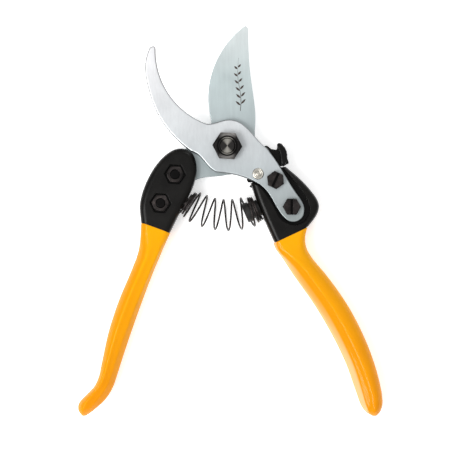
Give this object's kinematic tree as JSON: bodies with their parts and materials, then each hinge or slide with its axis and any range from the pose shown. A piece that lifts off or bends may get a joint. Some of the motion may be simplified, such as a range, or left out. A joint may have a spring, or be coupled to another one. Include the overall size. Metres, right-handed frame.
{
  "type": "pruning shears",
  "caption": "Bypass pruning shears lying flat and open: a curved cutting blade, a hooked counter blade, bolted-on handles with dipped grips, a coil spring and a thumb latch.",
  "frame": {"origin": "on the pivot axis, at the plane that the shears rest on: the underside of the pivot bolt's head", "axes": "+Z along the pivot axis, up from the resting plane; +Y towards the jaws, -Y towards the grip ends; +X towards the handle that carries the latch"},
  "size_m": [0.1541, 0.1976, 0.0191],
  "materials": {
    "blade_steel": "satin ground stainless steel",
    "hook_steel": "satin matte-plated steel",
    "head_paint": "black satin paint on a die casting",
    "grip_vinyl": "dipped yellow-orange vinyl, satin",
    "black_oxide": "black oxide steel",
    "rivet_nickel": "nickel-plated",
    "bumper_rubber": "black rubber",
    "spring_steel": "blackened spring wire",
    "bush_bronze": "sintered bronze",
    "latch_black": "black-coated pressed steel"
  },
  "bodies": {
    "right_arm": {"right_handle": "head_paint", "right_grip": "grip_vinyl", "hook_blade": "hook_steel", "pivot_bolt": "black_oxide", "pivot_nut": "black_oxide", "pivot_washer": "black_oxide", "hook_bolt_upper": "black_oxide", "hook_bolt_lower": "black_oxide", "hook_nut_upper": "black_oxide", "hook_nut_lower": "black_oxide", "latch_rivet": "rivet_nickel", "latch_washer": "black_oxide", "right_spring_post": "black_oxide", "bumper": "bumper_rubber", "coil_spring": "spring_steel"},
    "left_arm": {"left_handle": "head_paint", "left_grip": "grip_vinyl", "cutting_blade": "blade_steel", "pivot_bush": "bush_bronze", "blade_bolt_upper": "black_oxide", "blade_bolt_lower": "black_oxide", "blade_nut_upper": "black_oxide", "blade_nut_lower": "black_oxide", "left_spring_post": "head_paint"},
    "latch": {"latch_lever": "latch_black"}
  },
  "joints": [
    {"name": "pivot_hinge", "type": "hinge", "parent": "right_arm", "child": "left_arm", "pos_m": [0, 0, 0.008], "axis": [0, 0, 1], "range_deg": [0, 45], "stiffness_Nm_per_rad": 1, "springref_deg": -22.92, "deforming": ["coil_spring"]},
    {"name": "latch_hinge", "type": "hinge", "parent": "right_arm", "child": "latch", "pos_m": [0.0155, -0.0139, 0.0066], "axis": [0, 0, 1], "range_deg": [0, 25]}
  ]
}
